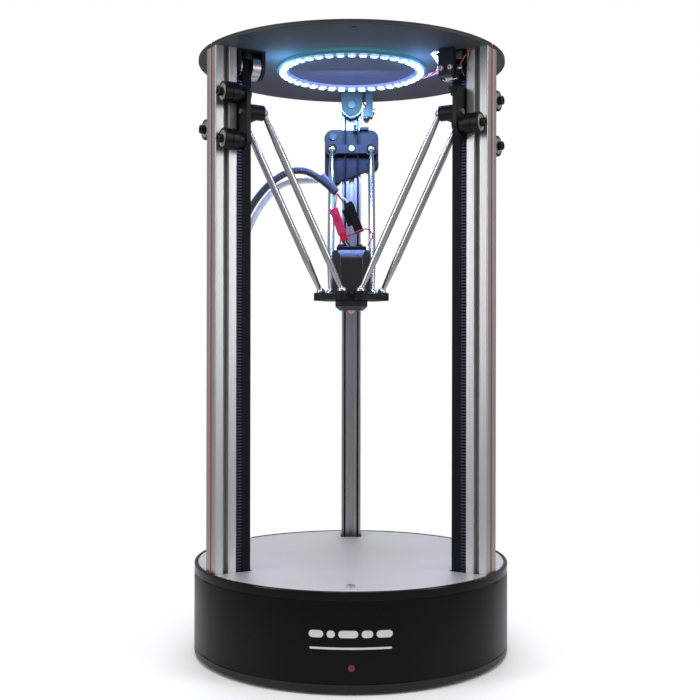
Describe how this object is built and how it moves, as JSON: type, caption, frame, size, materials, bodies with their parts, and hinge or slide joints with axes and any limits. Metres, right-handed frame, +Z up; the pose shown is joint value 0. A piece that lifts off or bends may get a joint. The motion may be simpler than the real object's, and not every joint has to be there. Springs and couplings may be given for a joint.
{
  "type": "delta printer",
  "caption": "Desktop delta 3D printer: round base and top plate, T-slot towers, belt-driven wheeled carriages, rods and a print head that lifts and sways.",
  "frame": {"origin": "centre of the round footprint, on the surface the feet stand on", "axes": "+Z up, -Y towards the user (the bed screw at the front), back tower on +Y"},
  "size_m": [0.216, 0.216, 0.4057],
  "materials": {
    "base_black": "satin black wrap",
    "trim_black": "polished black bead",
    "bed_silver": "fine matt anodised",
    "extrusion": "satin anodised",
    "top_black": "satin black",
    "board": "solder-masked board",
    "led": "lit white",
    "black_plastic": "moulded, fine grain",
    "belt_rubber": "ribbed black",
    "wheel_black": "hard black plastic",
    "pulley_metal": "turned",
    "steel": "bright steel",
    "black_steel": "black oxide",
    "rod_metal": "polished",
    "copper": "turned",
    "motor_black": "black laminated",
    "switch_body": "moulded",
    "board_green": "solder-masked board",
    "socket_black": "moulded",
    "foot_rubber": "matt rubber",
    "plug_red": "moulded, cross-hatched",
    "sleeve": "braided sleeve",
    "tube_white": "translucent tube",
    "lead_red": "insulated lead"
  },
  "bodies": {
    "frame": {"base_floor": "base_black", "base_shell": "base_black", "base_trim_ring": "trim_black", "bed_plate": "bed_silver", "bowden_tube": "tube_white", "column_back": "extrusion", "column_left": "extrusion", "column_right": "extrusion", "controller_board": "board_green", "drive_belts": "belt_rubber", "endstop_switches": "switch_body", "frame_screws": "steel", "hose": "sleeve", "hose_glands": "black_plastic", "idler_brackets": "black_plastic", "led_chips": "led", "led_ring_board": "board", "rear_sockets": "socket_black", "rubber_feet": "foot_rubber", "stepper_motors": "motor_black", "top_plate": "top_black", "tower_leads": "lead_red"},
    "lift_carriages": {"carriage_plate_left": "black_plastic", "carriage_plate_right": "black_plastic", "joint_bar_left": "black_plastic", "joint_bar_right": "black_plastic", "carriage_screws_front": "black_steel", "bar_screws_front": "steel"},
    "carriage_back": {"carriage_plate_back": "black_plastic", "joint_bar_back": "black_plastic", "carriage_screws_back": "black_steel"},
    "print_head": {"effector_plate": "black_plastic", "hotend_shell": "black_plastic", "hotend_cap": "black_plastic", "nozzle": "copper", "plug_red": "plug_red", "plug_black": "black_plastic"},
    "rod_left_near": {"arm_left_near": "rod_metal"},
    "rod_left_far": {"arm_left_far": "rod_metal"},
    "rod_right_near": {"arm_right_near": "rod_metal"},
    "rod_right_far": {"arm_right_far": "rod_metal"},
    "rods_back": {"arms_back": "rod_metal"},
    "wheel_back_upper": {"wheel_back_upper": "wheel_black"},
    "wheel_back_lower": {"wheel_back_lower": "wheel_black"},
    "wheel_back_single": {"wheel_back_single": "wheel_black"},
    "idler_pulley_back": {"idler_pulley_back": "pulley_metal"},
    "motor_pulley_back": {"motor_pulley_back": "pulley_metal"},
    "switch_lever_back": {"switch_lever_back": "steel"},
    "wheel_left_upper": {"wheel_left_upper": "wheel_black"},
    "wheel_left_lower": {"wheel_left_lower": "wheel_black"},
    "wheel_left_single": {"wheel_left_single": "wheel_black"},
    "idler_pulley_left": {"idler_pulley_left": "pulley_metal"},
    "motor_pulley_left": {"motor_pulley_left": "pulley_metal"},
    "switch_lever_left": {"switch_lever_left": "steel"},
    "wheel_right_upper": {"wheel_right_upper": "wheel_black"},
    "wheel_right_lower": {"wheel_right_lower": "wheel_black"},
    "wheel_right_single": {"wheel_right_single": "wheel_black"},
    "idler_pulley_right": {"idler_pulley_right": "pulley_metal"},
    "motor_pulley_right": {"motor_pulley_right": "pulley_metal"},
    "switch_lever_right": {"switch_lever_right": "steel"}
  },
  "joints": [
    {"name": "lift", "type": "slide", "parent": "frame", "child": "lift_carriages", "axis": [0, 0, 1], "range_m": [-0.1655, 0.0015]},
    {"name": "sway", "type": "slide", "parent": "lift_carriages", "child": "print_head", "axis": [0, 0.983, 0.1834], "range_m": [-0.0163, 0]},
    {"name": "back_carriage_slide", "type": "slide", "parent": "lift_carriages", "child": "carriage_back", "axis": [0, 0, 1], "range_m": [-0.0131, 0.0002]},
    {"name": "rod_left_near_swing", "type": "hinge", "parent": "lift_carriages", "child": "rod_left_near", "pos_m": [-0.05745, -0.05049, 0.3605], "axis": [1, 0, 0], "range_deg": [-8.2, 0.2]},
    {"name": "rod_left_far_swing", "type": "hinge", "parent": "lift_carriages", "child": "rod_left_far", "pos_m": [-0.07245, -0.02451, 0.3605], "axis": [1, 0, 0], "range_deg": [-8.2, 0.2]},
    {"name": "rod_right_near_swing", "type": "hinge", "parent": "lift_carriages", "child": "rod_right_near", "pos_m": [0.05745, -0.05049, 0.3605], "axis": [1, 0, 0], "range_deg": [-8.2, 0.2]},
    {"name": "rod_right_far_swing", "type": "hinge", "parent": "lift_carriages", "child": "rod_right_far", "pos_m": [0.07245, -0.02451, 0.3605], "axis": [1, 0, 0], "range_deg": [-8.2, 0.2]},
    {"name": "rods_back_swing", "type": "hinge", "parent": "carriage_back", "child": "rods_back", "pos_m": [0, 0.075, 0.3605], "axis": [1, 0, 0], "range_deg": [-8.7, 0.2]},
    {"name": "wheel_back_upper_spin", "type": "hinge", "parent": "carriage_back", "child": "wheel_back_upper", "pos_m": [-0.0145, 0.0988, 0.3716], "axis": [0, 1, 0], "range_deg": [-1387, 15]},
    {"name": "wheel_back_lower_spin", "type": "hinge", "parent": "carriage_back", "child": "wheel_back_lower", "pos_m": [-0.0145, 0.0988, 0.3417], "axis": [0, 1, 0], "range_deg": [-1387, 15]},
    {"name": "wheel_back_single_spin", "type": "hinge", "parent": "carriage_back", "child": "wheel_back_single", "pos_m": [0.0145, 0.0988, 0.3522], "axis": [0, 1, 0], "range_deg": [-15, 1387]},
    {"name": "idler_pulley_back_spin", "type": "hinge", "parent": "frame", "child": "idler_pulley_back", "pos_m": [0, 0.0825, 0.393], "axis": [0, 1, 0], "range_deg": [-20, 1938]},
    {"name": "motor_pulley_back_spin", "type": "hinge", "parent": "frame", "child": "motor_pulley_back", "pos_m": [0, 0.0825, 0.033], "axis": [0, 1, 0], "range_deg": [-20, 1938]},
    {"name": "switch_lever_back_press", "type": "hinge", "parent": "frame", "child": "switch_lever_back", "pos_m": [0.0114, 0.0853, 0.3846], "axis": [-1, 0, 0], "range_deg": [0, 4], "stiffness_Nm_per_rad": 0.02},
    {"name": "wheel_left_upper_spin", "type": "hinge", "parent": "lift_carriages", "child": "wheel_left_upper", "pos_m": [-0.07831, -0.06196, 0.3716], "axis": [-0.866, -0.5, 0], "range_deg": [-1387, 15]},
    {"name": "wheel_left_lower_spin", "type": "hinge", "parent": "lift_carriages", "child": "wheel_left_lower", "pos_m": [-0.07831, -0.06196, 0.3417], "axis": [-0.866, -0.5, 0], "range_deg": [-1387, 15]},
    {"name": "wheel_left_single_spin", "type": "hinge", "parent": "lift_carriages", "child": "wheel_left_single", "pos_m": [-0.09281, -0.03684, 0.3522], "axis": [-0.866, -0.5, 0], "range_deg": [-15, 1387]},
    {"name": "idler_pulley_left_spin", "type": "hinge", "parent": "frame", "child": "idler_pulley_left", "pos_m": [-0.07145, -0.04125, 0.393], "axis": [-0.866, -0.5, 0], "range_deg": [-20, 1938]},
    {"name": "motor_pulley_left_spin", "type": "hinge", "parent": "frame", "child": "motor_pulley_left", "pos_m": [-0.07145, -0.04125, 0.033], "axis": [-0.866, -0.5, 0], "range_deg": [-20, 1938]},
    {"name": "switch_lever_left_press", "type": "hinge", "parent": "frame", "child": "switch_lever_left", "pos_m": [-0.07957, -0.03278, 0.3846], "axis": [0.5, -0.866, 0], "range_deg": [0, 4], "stiffness_Nm_per_rad": 0.02},
    {"name": "wheel_right_upper_spin", "type": "hinge", "parent": "lift_carriages", "child": "wheel_right_upper", "pos_m": [0.09281, -0.03684, 0.3716], "axis": [0.866, -0.5, 0], "range_deg": [-1387, 15]},
    {"name": "wheel_right_lower_spin", "type": "hinge", "parent": "lift_carriages", "child": "wheel_right_lower", "pos_m": [0.09281, -0.03684, 0.3417], "axis": [0.866, -0.5, 0], "range_deg": [-1387, 15]},
    {"name": "wheel_right_single_spin", "type": "hinge", "parent": "lift_carriages", "child": "wheel_right_single", "pos_m": [0.07831, -0.06196, 0.3522], "axis": [0.866, -0.5, 0], "range_deg": [-15, 1387]},
    {"name": "idler_pulley_right_spin", "type": "hinge", "parent": "frame", "child": "idler_pulley_right", "pos_m": [0.07145, -0.04125, 0.393], "axis": [0.866, -0.5, 0], "range_deg": [-20, 1938]},
    {"name": "motor_pulley_right_spin", "type": "hinge", "parent": "frame", "child": "motor_pulley_right", "pos_m": [0.07145, -0.04125, 0.033], "axis": [0.866, -0.5, 0], "range_deg": [-20, 1938]},
    {"name": "switch_lever_right_press", "type": "hinge", "parent": "frame", "child": "switch_lever_right", "pos_m": [0.06817, -0.05252, 0.3846], "axis": [0.5, 0.866, 0], "range_deg": [0, 4], "stiffness_Nm_per_rad": 0.02}
  ],
  "couplings": [
    {"joint": "back_carriage_slide", "follows": "sway", "ratio": 0.79066},
    {"joint": "rod_left_near_swing", "follows": "sway", "rad_per_m": 8.5342},
    {"joint": "rod_left_far_swing", "follows": "sway", "rad_per_m": 8.5342},
    {"joint": "rod_right_near_swing", "follows": "sway", "rad_per_m": 8.5342},
    {"joint": "rod_right_far_swing", "follows": "sway", "rad_per_m": 8.5342},
    {"joint": "rods_back_swing", "follows": "sway", "rad_per_m": 9.041},
    {"joint": "wheel_back_upper_spin", "follows": "lift", "rad_per_m": 145.99},
    {"joint": "wheel_back_lower_spin", "follows": "lift", "rad_per_m": 145.99},
    {"joint": "wheel_back_single_spin", "follows": "lift", "rad_per_m": -145.99},
    {"joint": "idler_pulley_back_spin", "follows": "lift", "rad_per_m": -204.08},
    {"joint": "motor_pulley_back_spin", "follows": "lift", "rad_per_m": -204.08},
    {"joint": "wheel_left_upper_spin", "follows": "lift", "rad_per_m": 145.99},
    {"joint": "wheel_left_lower_spin", "follows": "lift", "rad_per_m": 145.99},
    {"joint": "wheel_left_single_spin", "follows": "lift", "rad_per_m": -145.99},
    {"joint": "idler_pulley_left_spin", "follows": "lift", "rad_per_m": -204.08},
    {"joint": "motor_pulley_left_spin", "follows": "lift", "rad_per_m": -204.08},
    {"joint": "wheel_right_upper_spin", "follows": "lift", "rad_per_m": 145.99},
    {"joint": "wheel_right_lower_spin", "follows": "lift", "rad_per_m": 145.99},
    {"joint": "wheel_right_single_spin", "follows": "lift", "rad_per_m": -145.99},
    {"joint": "idler_pulley_right_spin", "follows": "lift", "rad_per_m": -204.08},
    {"joint": "motor_pulley_right_spin", "follows": "lift", "rad_per_m": -204.08}
  ]
}
